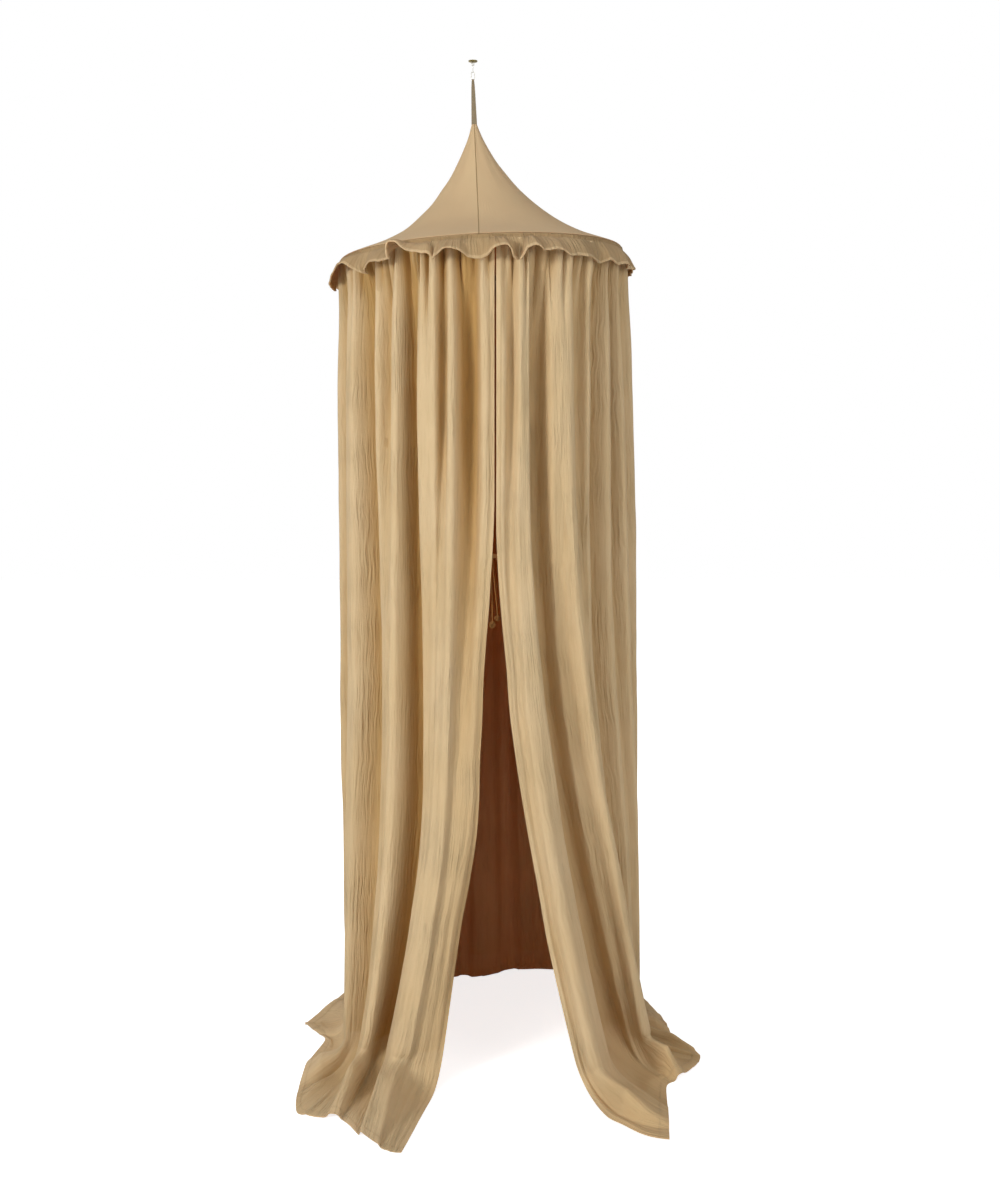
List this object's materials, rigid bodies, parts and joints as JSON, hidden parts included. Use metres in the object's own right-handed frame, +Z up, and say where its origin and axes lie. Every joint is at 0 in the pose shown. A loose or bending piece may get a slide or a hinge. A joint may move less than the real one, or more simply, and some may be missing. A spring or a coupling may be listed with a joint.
{
  "type": "hanging bed canopy",
  "caption": "Hanging bed canopy: a round hoop under a concave tent roof, with a wavy ruffle and long gathered curtains that part at the front and spread on the floor.",
  "frame": {"origin": "middle of the ceiling plate's top face, where the canopy hangs from the ceiling", "axes": "+Z up; the parting of the front curtains looks towards -Y; +X is to the right as seen from the front"},
  "size_m": [0.8359, 0.9875, 2.1],
  "materials": {
    "cotton_muslin": "crinkled double gauze, matte",
    "roof_cotton": "plain weave, matte",
    "ribbon_cotton": "woven strap, matte",
    "wool": "soft yarn",
    "cane": "bare",
    "aged_brass": "dulled",
    "steel": "plated wire, satin"
  },
  "bodies": {
    "ceiling": {"ceiling_plate": "aged_brass", "screw_eye": "steel"},
    "upper_link": {"chain_link_upper": "steel"},
    "lower_link": {"chain_link_lower": "steel", "hanging_ribbon": "ribbon_cotton"},
    "crown": {"roof_gore_left": "roof_cotton", "roof_gore_right": "roof_cotton", "hoop_arc_left": "cane", "hoop_arc_right": "cane", "hoop_ferrule_front": "steel", "hoop_ferrule_back": "steel", "hoop_casing": "cotton_muslin", "ruffle": "cotton_muslin", "curtain_back_left": "cotton_muslin", "curtain_back_right": "cotton_muslin"},
    "left_flap": {"curtain_front_left": "cotton_muslin", "tie_tab_left": "cotton_muslin"},
    "right_flap": {"curtain_front_right": "cotton_muslin", "tie_tab_right": "cotton_muslin", "tie_knot": "wool", "tie_cord_long": "wool", "tie_cord_short": "wool", "pompom_large": "wool", "pompom_small": "wool"}
  },
  "joints": [
    {"name": "upper_link_swing", "type": "hinge", "parent": "ceiling", "child": "upper_link", "pos_m": [0, 0, -0.0101], "axis": [1, 0, 0], "range_deg": [-6, 6]},
    {"name": "lower_link_swing", "type": "hinge", "parent": "upper_link", "child": "lower_link", "pos_m": [0, 0, -0.0258], "axis": [0, 1, 0], "range_deg": [-6, 6]},
    {"name": "crown_turn", "type": "hinge", "parent": "lower_link", "child": "crown", "pos_m": [0.003, 0, -0.13942], "axis": [0, 0, 1], "range_deg": [-45, 45]},
    {"name": "left_flap_lift", "type": "hinge", "parent": "crown", "child": "left_flap", "pos_m": [-0.19812, -0.21637, -0.44608], "axis": [-0.7062, 0.7071, -0.0358], "range_deg": [0, 14]},
    {"name": "right_flap_lift", "type": "hinge", "parent": "crown", "child": "right_flap", "pos_m": [0.23408, -0.21637, -0.42419], "axis": [-0.7062, -0.7071, -0.0358], "range_deg": [0, 14]}
  ]
}
